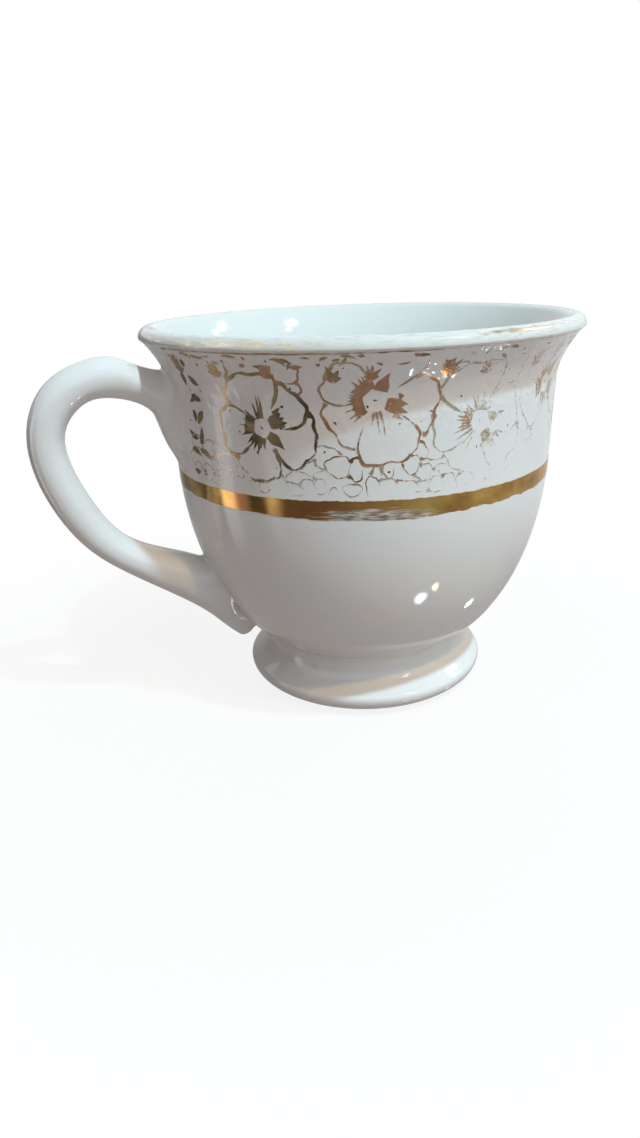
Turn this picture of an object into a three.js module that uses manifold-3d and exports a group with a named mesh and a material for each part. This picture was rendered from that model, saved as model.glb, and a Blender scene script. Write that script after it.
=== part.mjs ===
// A footed coffee cup: a flared bowl on a spreading foot, with a loop handle and gilt lines.
// Units are millimetres and +Z is up. The cup stands on z = 0, and its handle points along -X.
// The bowl, the foot and the handle are cast apart and stuck together with thin beds of slip.
// Each gilt line is a thin film over the glaze.

import * as THREE from "three";
import { mergeVertices } from "three/addons/utils/BufferGeometryUtils.js";
import Module from "manifold-3d";

// Foot: a flared ring, hollow underneath
const footHeight = 10.6; // standing face to the joint under the bowl
const footRadius = 26.3; // axis to the widest point of the flared edge
const footEdgeAcross = 6; // the edge's lower half, a quarter ellipse: how far it comes in
const footEdgeUp = 3.6; // and how high it rises
const footShoulderRadius = 1.3; // tighter round of its upper half
const footShoulderTurn = THREE.MathUtils.degToRad(60); // how far the shoulder turns in to the cove
const standingWidth = 2.6; // width of the flat ring that the cup stands on
const neckRadius = 21.4; // waist between the foot and the bowl
const neckWall = 3.9; // thickness of the foot's wall at the waist

// Bowl: a quarter ellipse for the belly, an upright wall, a flare and a rolled lip
const rimRadius = 43.9; // axis to the outside of the lip
const cupHeight = 77.6; // standing face to the top of the lip
const lipCrownRadius = 1.9; // broad round over the top of the lip
const lipEdgeRadius = 0.5; // tight round along its outer edge
const lipJoin = THREE.MathUtils.degToRad(5); // where the two rounds meet, as an angle on the profile
const lipTurn = THREE.MathUtils.degToRad(80); // how far under itself the edge is rolled
const lipInside = THREE.MathUtils.degToRad(146.5); // where the crown runs out into the lining
const flareHeight = 12.1; // top of the lip down to the throat, where the flare starts
const flareKnee = 4.7; // throat up to the crossing of the flare's two end tangents
const wallLean = 0.4; // how much wider the throat is than the belly
const bellyRadius = 38.7; // axis to the widest point of the belly
const bellyDepth = 25.6; // top of the lip down to that point
const bellyDrawIn = 25.2; // half width of the belly's ellipse
const wallThickness = 3;
const floorThickness = 3;

// Handle: an oval bar whose two edges run through pairs of points, named from the wall round to the
// tail. Points near the bowl lie "out" from its wall, and points of the loop lie "in" from the
// furthest reach. Heights are "down" from the top of the lip or "up" from the joint under the bowl.
// The width is across the plane of the loop.
const handleReach = 66.7; // axis to the outside of the grip
const pad = { top: 8, bottom: 28.6, width: 11 };
const collar = { outerOut: 2.9, outerDown: 6.9, innerOut: 2.4, innerDown: 20.7, width: 10 };
const throat = { outerOut: 6.2, outerDown: 5.2, innerOut: 4.6, innerDown: 14.7, width: 9.2 };
const bridge = { outerOut: 10.6, outerDown: 4.4, innerOut: 12.2, innerDown: 11.8, width: 8.6 };
const shoulder = { outerIn: 4.9, outerDown: 8.3, innerIn: 9.7, innerDown: 13.7, width: 8.4 };
const grip = { outerIn: 0, outerDown: 19.8, innerIn: 6.8, innerDown: 19.8, width: 8.4 };
const sweep = { outerIn: 5.2, outerUp: 29.8, innerIn: 11, innerUp: 33.7, width: 8.4 };
const heel = { outerIn: 14, outerUp: 20.4, innerIn: 18.6, innerUp: 25.3, width: 8.8 };
const root = { outerOut: 7.2, outerUp: 9.9, innerUp: 18.2, width: 11.4 };
const tail = { outerOut: 5.7, outerUp: 4.7, innerUp: 11, width: 9.4 };
const tip = { outerOut: 5.9, outerUp: 1.7, innerUp: 5.2, width: 6.4 };
const end = { outerOut: 3.6, outerUp: 2.2, innerUp: 3.4, width: 3 };
const handleBite = 1.6; // how far the ends of the bar reach into the wall before they are cut to it

// Joints and gilding
const slipThickness = 0.5; // bed of slip in each joint
const slipGap = 0.3; // clearance on each side of a bed that follows the curved wall
const filmThickness = 0.15;
const filmGap = 0.05; // clearance between a film and the glaze below it
const bandDown = 27.2; // top of the lip down to the upper edge of the gold band
const bandWidth = 3.2;
const rimGiltLow = THREE.MathUtils.degToRad(-35); // the rim's film, as angles on the lip's rounds
const rimGiltHigh = THREE.MathUtils.degToRad(105);

// Fineness of the facets
const turnSegments = 64;
const bellySegments = 11;
const flareSegments = 5;
const lipEdgeSegments = 4;
const lipCrownSegments = 8;
const edgeSegments = 5;
const coveSegments = 5;
const handleRings = 44;
const handleSides = 18;

const quarterTurn = Math.PI / 2;
const seatHeight = footHeight + slipThickness;
const bellyHeight = cupHeight - bellyDepth;
const throatHeight = cupHeight - flareHeight;
const throatRadius = bellyRadius + wallLean;
const lipStep = lipCrownRadius - lipEdgeRadius;
const lipCrownCentre = new THREE.Vector2(
  rimRadius - lipEdgeRadius - lipStep * Math.cos(lipJoin),
  cupHeight - lipCrownRadius,
);
const lipEdgeCentre = new THREE.Vector2(
  rimRadius - lipEdgeRadius,
  lipCrownCentre.y + lipStep * Math.sin(lipJoin),
);

const wasm = await Module();
wasm.setup();

// A closed geometry as a solid that can be cut
function solid(geometry) {
  const bare = geometry.clone();
  bare.deleteAttribute("normal");
  bare.deleteAttribute("uv");
  const merged = mergeVertices(bare);
  return new wasm.Manifold(
    new wasm.Mesh({
      numProp: 3,
      vertProperties: new Float32Array(merged.attributes.position.array),
      triVerts: new Uint32Array(merged.index.array),
    }),
  );
}

// A cut solid as a geometry again
function cutGeometry(cut) {
  const mesh = cut.getMesh();
  const geometry = new THREE.BufferGeometry();
  geometry.setAttribute("position", new THREE.BufferAttribute(mesh.vertProperties, 3));
  geometry.setIndex(new THREE.BufferAttribute(mesh.triVerts, 1));
  geometry.computeVertexNormals();
  return geometry;
}

// A profile of radius and height turned about the cup's axis
function turned(profile) {
  return new THREE.LatheGeometry(profile, turnSegments).rotateX(quarterTurn);
}

// Points of an arc on the profile
function arc(centre, across, up, from, to, segments) {
  return new THREE.EllipseCurve(centre.x, centre.y, across, up, from, to, to < from).getPoints(segments);
}

// The lip's two rounds from one angle up to another, grown outwards by a margin
function lipRounds(margin, from, to) {
  const edge = lipEdgeRadius + margin;
  const crown = lipCrownRadius + margin;
  return [
    ...arc(lipEdgeCentre, edge, edge, from, lipJoin, lipEdgeSegments),
    ...arc(lipCrownCentre, crown, crown, lipJoin, to, lipCrownSegments).slice(1),
  ];
}

// Outer outline of the bowl from the waist up to the underside of the lip
function bowlOutline() {
  const centre = new THREE.Vector2(bellyRadius - bellyDrawIn, bellyHeight);
  const waistAngle = -Math.acos((neckRadius - centre.x) / bellyDrawIn);
  const bellyUp = (seatHeight - bellyHeight) / Math.sin(waistAngle);
  const flare = new THREE.QuadraticBezierCurve(
    new THREE.Vector2(throatRadius, throatHeight),
    new THREE.Vector2(throatRadius, throatHeight + flareKnee),
    new THREE.Vector2(
      lipEdgeCentre.x + lipEdgeRadius * Math.cos(lipTurn),
      lipEdgeCentre.y - lipEdgeRadius * Math.sin(lipTurn),
    ),
  );
  return [
    ...arc(centre, bellyDrawIn, bellyUp, waistAngle, 0, bellySegments),
    ...flare.getPoints(flareSegments),
  ];
}

// Inner outline of the bowl from the lip down to the middle of the floor
function bowlLining() {
  const floorHeight = seatHeight + floorThickness;
  const centre = new THREE.Vector2(bellyRadius - bellyDrawIn, bellyHeight);
  const across = bellyDrawIn - wallThickness;
  const flare = new THREE.QuadraticBezierCurve(
    new THREE.Vector2(
      lipCrownCentre.x + lipCrownRadius * Math.cos(lipInside),
      lipCrownCentre.y + lipCrownRadius * Math.sin(lipInside),
    ),
    new THREE.Vector2(throatRadius - wallThickness, throatHeight + flareKnee),
    new THREE.Vector2(throatRadius - wallThickness, throatHeight),
  );
  return [
    ...flare.getPoints(flareSegments).slice(1),
    ...arc(centre, across, bellyHeight - floorHeight, 0, -quarterTurn, bellySegments),
    new THREE.Vector2(0, floorHeight),
  ];
}

const outline = bowlOutline();

// Radius of the bowl's outside at a height
function wallRadiusAt(height) {
  const below = outline.filter((point) => point.y < height).length;
  const above = THREE.MathUtils.clamp(below, 1, outline.length - 1);
  const low = outline[above - 1];
  const high = outline[above];
  return THREE.MathUtils.mapLinear(height, low.y, high.y, low.x, high.x);
}

// The bowl's whole outside, filled in and grown outwards by a margin
function grownBowl(margin) {
  const profile = outline.map((point, i) => {
    const before = outline[Math.max(0, i - 1)];
    const after = outline[Math.min(outline.length - 1, i + 1)];
    const along = after.clone().sub(before).normalize();
    return new THREE.Vector2(point.x + along.y * margin, point.y - along.x * margin);
  });
  profile.unshift(new THREE.Vector2(0, profile[0].y));
  profile.push(new THREE.Vector2(0, profile.at(-1).y));
  return solid(turned(profile));
}

function bowlGeometry() {
  return turned([
    new THREE.Vector2(0, seatHeight),
    ...outline,
    ...lipRounds(0, -lipTurn, lipInside).slice(1),
    ...bowlLining(),
  ]);
}

function footGeometry() {
  const edgeCentre = new THREE.Vector2(footRadius - footEdgeAcross, footEdgeUp);
  const shoulderCentre = new THREE.Vector2(footRadius - footShoulderRadius, footEdgeUp);
  const shoulderRound = arc(
    shoulderCentre,
    footShoulderRadius,
    footShoulderRadius,
    0,
    footShoulderTurn,
    edgeSegments,
  );
  const coveStart = shoulderRound.at(-1);
  const coveRise = (coveStart.x - neckRadius) / Math.tan(footShoulderTurn);
  const cove = new THREE.QuadraticBezierCurve(
    coveStart,
    new THREE.Vector2(neckRadius, coveStart.y + coveRise),
    new THREE.Vector2(neckRadius, footHeight),
  );
  const standingInside = new THREE.Vector2(edgeCentre.x - standingWidth, 0);
  return turned([
    standingInside,
    ...arc(edgeCentre, footEdgeAcross, footEdgeUp, -quarterTurn, 0, edgeSegments),
    ...shoulderRound.slice(1),
    ...cove.getPoints(coveSegments).slice(1),
    new THREE.Vector2(neckRadius - neckWall, footHeight),
    standingInside,
  ]);
}

function footSlipGeometry() {
  const inside = neckRadius - neckWall;
  const corner = new THREE.Vector2(inside, footHeight);
  return turned([
    corner,
    new THREE.Vector2(neckRadius, footHeight),
    new THREE.Vector2(neckRadius, seatHeight),
    new THREE.Vector2(inside, seatHeight),
    corner,
  ]);
}

// One edge of the handle as a smooth curve of radius, height and half width
function handleEdge(points, widths) {
  return new THREE.CatmullRomCurve3(
    points.map((point, i) => new THREE.Vector3(point.x, point.y, widths[i] / 2)),
  );
}

const byReach = (inward, height) => new THREE.Vector2(handleReach - inward, height);
const byWall = (outward, height) => new THREE.Vector2(wallRadiusAt(height) + outward, height);

// The whole bar of the handle, with both ends reaching into the wall of the bowl
function handleBar() {
  const start = [collar, throat, bridge];
  const upper = [shoulder, grip];
  const lower = [sweep, heel];
  const ending = [root, tail, tip, end];
  const widths = [pad, ...start, ...upper, ...lower, ...ending].map((station) => station.width);
  const outerEdge = handleEdge(
    [
      byWall(-handleBite, cupHeight - pad.top),
      ...start.map((s) => byWall(s.outerOut, cupHeight - s.outerDown)),
      ...upper.map((s) => byReach(s.outerIn, cupHeight - s.outerDown)),
      ...lower.map((s) => byReach(s.outerIn, seatHeight + s.outerUp)),
      ...ending.map((s) => byWall(s.outerOut, seatHeight + s.outerUp)),
    ],
    widths,
  );
  const innerEdge = handleEdge(
    [
      byWall(-handleBite, cupHeight - pad.bottom),
      ...start.map((s) => byWall(s.innerOut, cupHeight - s.innerDown)),
      ...upper.map((s) => byReach(s.innerIn, cupHeight - s.innerDown)),
      ...lower.map((s) => byReach(s.innerIn, seatHeight + s.innerUp)),
      ...ending.map((s) => byWall(-handleBite, seatHeight + s.innerUp)),
    ],
    widths,
  );
  const bar = new THREE.CylinderGeometry(1, 1, 1, handleSides, handleRings);
  const place = bar.attributes.position;
  for (let i = 0; i < place.count; i += 1) {
    const along = THREE.MathUtils.clamp(0.5 - place.getY(i), 0, 1);
    const outer = outerEdge.getPoint(along);
    const inner = innerEdge.getPoint(along);
    const toOuter = (1 + place.getX(i)) / 2;
    const edge = inner.lerp(outer, toOuter);
    place.setXYZ(i, -edge.x, edge.z * place.getZ(i), edge.y);
  }
  return solid(bar);
}

// A film over part of the lip
function rimGiltGeometry() {
  const outer = lipRounds(filmGap + filmThickness, rimGiltLow, rimGiltHigh);
  const inner = lipRounds(filmGap, rimGiltLow, rimGiltHigh).reverse();
  return turned([...outer, ...inner, outer[0]]);
}

// A film round the belly
function goldBandGeometry() {
  const top = cupHeight - bandDown;
  const heights = [top - bandWidth, top - bandWidth / 2, top];
  const film = (height, lift) => new THREE.Vector2(wallRadiusAt(height) + filmGap + lift, height);
  const outer = heights.map((height) => film(height, filmThickness));
  const inner = heights.map((height) => film(height, 0)).reverse();
  return turned([...outer, ...inner, outer[0]]);
}

const porcelain = { color: 0xf0ece6, roughness: 0.12, metalness: 0 };
const driedSlip = { color: 0xe6dfd5, roughness: 0.4, metalness: 0 };
const gold = { color: 0xb8893a, roughness: 0.25, metalness: 1 };

const cup = new THREE.Group();

function addPiece(name, geometry, finish) {
  const piece = new THREE.Mesh(geometry, new THREE.MeshStandardMaterial(finish));
  piece.name = name;
  cup.add(piece);
}

const bar = handleBar();
const slipBed = grownBowl(slipGap + slipThickness).subtract(grownBowl(slipGap)).intersect(bar);
const splitHeight = (cupHeight + seatHeight) / 2;
const upperHalf = solid(
  new THREE.BoxGeometry(4 * handleReach, 4 * handleReach, cupHeight).translate(
    0,
    0,
    splitHeight + cupHeight / 2,
  ),
);

addPiece("bowl", bowlGeometry(), porcelain);
addPiece("foot", footGeometry(), porcelain);
addPiece("handle", cutGeometry(bar.subtract(grownBowl(slipThickness + 2 * slipGap))), porcelain);
addPiece("foot_slip_ring", footSlipGeometry(), driedSlip);
addPiece("handle_upper_slip", cutGeometry(slipBed.intersect(upperHalf)), driedSlip);
addPiece("handle_lower_slip", cutGeometry(slipBed.subtract(upperHalf)), driedSlip);
addPiece("rim_gilding", rimGiltGeometry(), gold);
addPiece("belly_gold_band", goldBandGeometry(), gold);

// The origin lies on the standing face, under the middle of the cup and its handle.
const reach = new THREE.Box3().setFromObject(cup);
cup.position.x = -(reach.min.x + reach.max.x) / 2;

export default new THREE.Group().add(cup);
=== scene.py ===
"""Looks of a footed coffee cup: white glaze, a worn gilt lip, a gold band and a gilt print."""

import math

import bmesh
import bpy
import numpy as np
from mathutils import Matrix, Vector, noise


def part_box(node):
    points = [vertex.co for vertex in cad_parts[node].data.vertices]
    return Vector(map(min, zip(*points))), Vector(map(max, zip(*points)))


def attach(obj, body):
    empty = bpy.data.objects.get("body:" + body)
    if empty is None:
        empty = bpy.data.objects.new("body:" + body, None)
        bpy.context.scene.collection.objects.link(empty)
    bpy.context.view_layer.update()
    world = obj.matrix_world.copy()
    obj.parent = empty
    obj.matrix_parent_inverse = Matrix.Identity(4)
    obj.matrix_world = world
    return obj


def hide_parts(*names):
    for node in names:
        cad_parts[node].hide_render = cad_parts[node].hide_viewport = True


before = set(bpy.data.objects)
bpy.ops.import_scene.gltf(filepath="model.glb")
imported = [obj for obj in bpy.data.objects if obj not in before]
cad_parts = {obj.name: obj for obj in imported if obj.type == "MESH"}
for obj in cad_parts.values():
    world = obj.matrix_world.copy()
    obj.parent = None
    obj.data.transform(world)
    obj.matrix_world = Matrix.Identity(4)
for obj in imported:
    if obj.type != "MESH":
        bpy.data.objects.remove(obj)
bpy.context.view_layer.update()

bowl_low, bowl_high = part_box("bowl")

# Places: lengths are millimetres about the bowl's axis, and become metres when a mesh is made
MM = 0.001
AXIS = Vector(((bowl_low.x + bowl_high.x) / 2, 0, 0))
HANDLE_SIDE = math.pi  # azimuth of the handle, from which the print's angles are counted

# Foot
FOOT_HEIGHT = 10.6
FOOT_RADIUS = 26.3
FOOT_EDGE_ACROSS = 6.0
FOOT_EDGE_UP = 3.6
FOOT_SHOULDER_RADIUS = 1.3
FOOT_SHOULDER_TURN = math.radians(60)
STANDING_INNER = 17.7
STANDING_OUTER = FOOT_RADIUS - FOOT_EDGE_ACROSS
STANDING_ROUND = 0.5
NECK_RADIUS = 21.4
NECK_WALL = 3.9
NECK_FILLET = 1.5
FILLET_RISE = NECK_FILLET * 0.8  # above the seat, where the fillet ends on the bowl
FILLET_DROP = 0.1  # below the seat, where the fillet's knee is
BURIED_RISE = 1.2  # above the seat, where the foot ends inside the bowl
RECESS_ROUND = 1.2

# Bowl
SEAT_HEIGHT = 11.1
CUP_HEIGHT = 77.6
RIM_RADIUS = 43.9
LIP_CROWN_RADIUS = 1.9
LIP_EDGE_RADIUS = 0.5
LIP_JOIN = math.radians(5)  # where the crown's round meets the edge's
LIP_TURN = math.radians(80)
LIP_INSIDE = math.radians(146.5)
THROAT_HEIGHT = 65.5
THROAT_RADIUS = 39.1
FLARE_KNEE = 4.7
BELLY_HEIGHT = 52.0
BELLY_RADIUS = 38.7
BELLY_DRAW_IN = 25.2
WALL = 3.0
RIDGE_HEIGHT = 18.7  # faint turning line low on the bowl
RIDGE_STEP = 0.08
RIDGE_SOFTNESS = 0.12

# Gilding
BAND_TOP = 50.4
BAND_BOTTOM = 47.2
FILM_LIFT = 0.04
FILM_SINK = 0.03
RIM_GILT_LOW = math.radians(-35)
RIM_GILT_HIGH = math.radians(105)

# Fineness of the meshes: points round the cup, and along each curve
TURNS = 320
FILM_TURNS = 900
FILM_ROWS = 16
HANDLE_RINGS = 300
HANDLE_SIDES = 56
BEAD_RINGS = 11
BELLY_POINTS = 120
WALL_POINTS = 14
FLARE_POINTS = 34
INSIDE_FLARE_POINTS = 30
INSIDE_BELLY_POINTS = 48
INSIDE_FLAT_POINTS = 6
UNDERSIDE_POINTS = 8
LIP_EDGE_POINTS = 14
LIP_CROWN_POINTS = 34
FOOT_CURVE_POINTS = 24
FOOT_ROUND_POINTS = 14
RECESS_POINTS = 10
STANDING_POINTS = 8
WELD = 1e-7  # metres

# Camera, as fitted to the photograph: the view's azimuth is turned from the handle's plane
PHOTO_HEIGHT = 1138
FOCAL_PIXELS = 790.0
SENSOR_SIZE = 36.0
CLIP_START = 0.01
VIEW_TURN = math.radians(22)
CAMERA_BACK = 167.01
CAMERA_UP = 89.0
CAMERA_YAW = math.radians(-3.3456)
CAMERA_PITCH = math.radians(21.5595)
CAMERA_ROLL = math.radians(-2.1828)


# Mesh helpers

def add_object(name, data):
    made = bpy.data.objects.new(name, data)
    bpy.context.scene.collection.objects.link(made)
    return made


def add_piece(name, points, faces, material, replaces=(), smooth=True):
    """A mesh piece from points in millimetres about the bowl's axis."""
    mesh = bpy.data.meshes.new(name)
    placed = np.asarray(points, float) * MM + np.array(AXIS)
    mesh.from_pydata(placed.tolist(), [], faces)
    mesh.polygons.foreach_set("use_smooth", [smooth] * len(mesh.polygons))
    mesh.update()
    mesh.materials.append(material)
    piece = add_object(name, mesh)
    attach(piece, "root")
    if replaces:
        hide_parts(*replaces)
    return piece


def grid_faces(rows, columns, wrap_columns=False, wrap_rows=False):
    """Quads between the points of a grid that is stored row by row."""
    row = np.arange(rows if wrap_rows else rows - 1)[:, None] * columns
    next_row = (row + columns) % (rows * columns)
    column = np.arange(columns if wrap_columns else columns - 1)
    next_column = (column + 1) % columns
    corners = [row + column, row + next_column, next_row + next_column, next_row + column]
    return np.stack(corners, axis=-1).reshape(-1, 4).tolist()


def all_round(count):
    """Angles once round, without the first again at the end."""
    return np.linspace(0, 2 * math.pi, count, endpoint=False)


def about_axis(radius, angles, height):
    return np.stack([radius * np.cos(angles), radius * np.sin(angles), height], axis=-1)


def turned(profile, turns=TURNS, closed=False):
    """Points and faces of a profile of radius and height turned about the axis."""
    height = np.repeat(profile[:, 1][:, None], turns, axis=1)
    points = about_axis(profile[:, 0][:, None], all_round(turns), height)
    faces = grid_faces(len(profile), turns, wrap_columns=True, wrap_rows=closed)
    return points.reshape(-1, 3), faces


def disc(radius, count=32):
    """Points and the one face of a level disc."""
    angles = all_round(count)
    return about_axis(radius, angles, 0 * angles), [tuple(range(count))]


def set_attribute(piece, name, values):
    layer = piece.data.attributes.new(name, "FLOAT", "POINT")
    layer.data.foreach_set("value", np.asarray(values, np.float32))


def clean_mesh(piece):
    """Joins the points that a profile leaves on the axis, and turns all faces outward."""
    work = bmesh.new()
    work.from_mesh(piece.data)
    bmesh.ops.remove_doubles(work, verts=work.verts, dist=WELD)
    bmesh.ops.recalc_face_normals(work, faces=work.faces)
    work.to_mesh(piece.data)
    work.free()


def ellipse_arc(centre, across, up, start, stop, count):
    angles = np.linspace(start, stop, count)
    return np.stack([centre[0] + across * np.cos(angles), centre[1] + up * np.sin(angles)], axis=1)


def bend(start, knee, stop, count):
    """A quadratic curve between two points, tangent to the lines to its knee."""
    start, knee, stop = np.array(start), np.array(knee), np.array(stop)
    t = np.linspace(0, 1, count)[:, None]
    return (1 - t) ** 2 * start + 2 * t * (1 - t) * knee + t ** 2 * stop


# Shape of the bowl

def lip_point(angle, lift):
    """Radius and height on the lip's two rounds, for angles counted up from level."""
    step = LIP_CROWN_RADIUS - LIP_EDGE_RADIUS
    on_edge = np.asarray(angle) < LIP_JOIN
    edge_radius = RIM_RADIUS - LIP_EDGE_RADIUS
    crown_height = CUP_HEIGHT - LIP_CROWN_RADIUS
    radius = np.where(on_edge, edge_radius, edge_radius - step * math.cos(LIP_JOIN))
    height = np.where(on_edge, crown_height + step * math.sin(LIP_JOIN), crown_height)
    reach = np.where(on_edge, LIP_EDGE_RADIUS, LIP_CROWN_RADIUS) + lift
    return np.stack([radius + reach * np.cos(angle), height + reach * np.sin(angle)], axis=-1)


BELLY_CENTRE = (BELLY_RADIUS - BELLY_DRAW_IN, BELLY_HEIGHT)


def bowl_outside():
    """Outer outline from the waist up to the underside of the lip."""
    waist_angle = -math.acos((NECK_RADIUS - BELLY_CENTRE[0]) / BELLY_DRAW_IN)
    belly_up = (SEAT_HEIGHT - BELLY_HEIGHT) / math.sin(waist_angle)
    belly = ellipse_arc(BELLY_CENTRE, BELLY_DRAW_IN, belly_up, waist_angle, 0, BELLY_POINTS)
    throat = (THROAT_RADIUS, THROAT_HEIGHT)
    flare_knee = (THROAT_RADIUS, THROAT_HEIGHT + FLARE_KNEE)
    flare = bend(throat, flare_knee, lip_point(-LIP_TURN, 0), FLARE_POINTS)
    wall = np.linspace(belly[-1], flare[0], WALL_POINTS)
    outline = np.concatenate([belly, wall[1:-1], flare])
    below_ridge = 1 / (1 + np.exp((outline[:, 1] - RIDGE_HEIGHT) / RIDGE_SOFTNESS))
    outline[:, 0] += RIDGE_STEP * below_ridge
    return outline


def bowl_inside():
    """Inner outline from the lip down to the middle of the floor."""
    floor_height = SEAT_HEIGHT + WALL
    throat = (THROAT_RADIUS - WALL, THROAT_HEIGHT)
    flare_knee = (THROAT_RADIUS - WALL, THROAT_HEIGHT + FLARE_KNEE)
    flare = bend(lip_point(LIP_INSIDE, 0), flare_knee, throat, INSIDE_FLARE_POINTS)
    belly = ellipse_arc(
        BELLY_CENTRE, BELLY_DRAW_IN - WALL, BELLY_HEIGHT - floor_height,
        0, -math.pi / 2, INSIDE_BELLY_POINTS)
    wall = np.linspace(flare[-1], belly[0], INSIDE_FLAT_POINTS)
    floor = np.linspace(belly[-1], (0, floor_height), INSIDE_FLAT_POINTS)
    return np.concatenate([flare[1:], wall[1:-1], belly, floor[1:]])


OUTSIDE = bowl_outside()
ALONG = np.gradient(OUTSIDE, axis=0)
ALONG /= np.linalg.norm(ALONG, axis=1)[:, None]
OUTWARD = np.stack([ALONG[:, 1], -ALONG[:, 0]], axis=1)
CLIMB = np.concatenate([[0], np.cumsum(np.linalg.norm(np.diff(OUTSIDE, axis=0), axis=1))])


def wall_radius(height):
    return np.interp(height, OUTSIDE[:, 1], OUTSIDE[:, 0])


def on_wall(angle, height, lift):
    """Points that stand a little proud of the bowl's outside."""
    out = np.interp(height, OUTSIDE[:, 1], OUTWARD[:, 0])
    up = np.interp(height, OUTSIDE[:, 1], OUTWARD[:, 1])
    reach = wall_radius(height) + lift * out
    return about_axis(reach, angle, height + lift * up)


def height_above(height, climb):
    """Height that lies a length of wall above another height."""
    return np.interp(np.interp(height, OUTSIDE[:, 1], CLIMB) + climb, CLIMB, OUTSIDE[:, 1])


def wall_gap(points):
    """Signed distance of points from the bowl's outside, and the way out of the wall there."""
    radius = np.hypot(points[:, 0], points[:, 1])
    place = np.stack([radius, points[:, 2]], axis=1)
    nearest = np.linalg.norm(place[:, None, :] - OUTSIDE[None, :, :], axis=2).argmin(axis=1)
    gap = ((place - OUTSIDE[nearest]) * OUTWARD[nearest]).sum(axis=1)
    level = points[:, :2] / radius[:, None] * OUTWARD[nearest, :1]
    return gap, np.concatenate([level, OUTWARD[nearest, 1:]], axis=1)


def make_bowl(material):
    underside = np.linspace((0, SEAT_HEIGHT), OUTSIDE[0], UNDERSIDE_POINTS)[:-1]
    edge_turn = np.linspace(-LIP_TURN, LIP_JOIN, LIP_EDGE_POINTS)
    crown_turn = np.linspace(LIP_JOIN, LIP_INSIDE, LIP_CROWN_POINTS)
    lip = lip_point(np.concatenate([edge_turn, crown_turn[1:]]), 0)
    inside = bowl_inside()
    profile = np.concatenate([underside, OUTSIDE, lip[1:], inside])
    points, faces = turned(profile)
    piece = add_piece("glazed_bowl", points, faces, material, ["bowl"])
    outer = np.zeros(len(underside) + len(OUTSIDE))
    over_lip = np.linspace(0, 1, len(lip) - 1) ** 2
    inner = np.concatenate([outer, over_lip, np.ones(len(inside))])
    set_attribute(piece, "inner", np.repeat(inner, TURNS))
    flare = np.clip((profile[:, 1] - BAND_TOP) / (THROAT_HEIGHT - BAND_TOP), 0, 1) ** 3
    flare[len(outer):] = 0
    set_attribute(piece, "flare", np.repeat(flare, TURNS))
    clean_mesh(piece)


def make_foot(material):
    edge = ellipse_arc(
        (STANDING_OUTER, FOOT_EDGE_UP), FOOT_EDGE_ACROSS, FOOT_EDGE_UP,
        -math.pi / 2, 0, FOOT_CURVE_POINTS)
    shoulder = ellipse_arc(
        (FOOT_RADIUS - FOOT_SHOULDER_RADIUS, FOOT_EDGE_UP), FOOT_SHOULDER_RADIUS,
        FOOT_SHOULDER_RADIUS, 0, FOOT_SHOULDER_TURN, FOOT_ROUND_POINTS)
    cove_rise = (shoulder[-1][0] - NECK_RADIUS) / math.tan(FOOT_SHOULDER_TURN)
    cove_knee = (NECK_RADIUS, shoulder[-1][1] + cove_rise)
    cove_top = (NECK_RADIUS, FOOT_HEIGHT - NECK_FILLET)
    cove = bend(shoulder[-1], cove_knee, cove_top, FOOT_CURVE_POINTS)
    seam_height = SEAT_HEIGHT + FILLET_RISE
    seam = (wall_radius(seam_height), seam_height)
    fillet = bend(cove[-1], (NECK_RADIUS, SEAT_HEIGHT - FILLET_DROP), seam, FOOT_ROUND_POINTS)
    buried = [(NECK_RADIUS, SEAT_HEIGHT + BURIED_RISE)]
    recess = NECK_RADIUS - NECK_WALL
    recess_round = bend(
        (recess - RECESS_ROUND, SEAT_HEIGHT), (recess, SEAT_HEIGHT),
        (recess, SEAT_HEIGHT - RECESS_ROUND), RECESS_POINTS)
    inner_edge = bend(
        (STANDING_INNER, STANDING_ROUND), (STANDING_INNER, 0),
        (STANDING_INNER + STANDING_ROUND, 0), STANDING_POINTS)
    profile = np.concatenate(
        [inner_edge, edge, shoulder[1:], cove[1:], fillet[1:], buried, recess_round])
    points, faces = turned(profile, closed=True)
    piece = add_piece(
        "glazed_foot", points, faces, material, ["foot", "foot_slip_ring"])
    clean_mesh(piece)


# Shape of the handle

HANDLE_REACH = 66.7
HANDLE_BITE = 1.6
SECTION_POWER = 2.15
BEAD_LENGTH = 0.46  # of the tail's half width
BEAD_TIP = 1e-4  # share of the section that is left at the bead's end
HEADING_RINGS = 5  # rings at the tail's end that give its heading
# Fillet between the handle and the wall: its radius at the edges, and at heights on the sides
EDGE_FILLET = 1.2
FILLET_HEIGHTS = [SEAT_HEIGHT + 2.5, SEAT_HEIGHT + 8.0, SEAT_HEIGHT + 18.0, 48.0]
SIDE_FILLETS = [1.0, 3.6, 5.0, 2.2]

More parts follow.
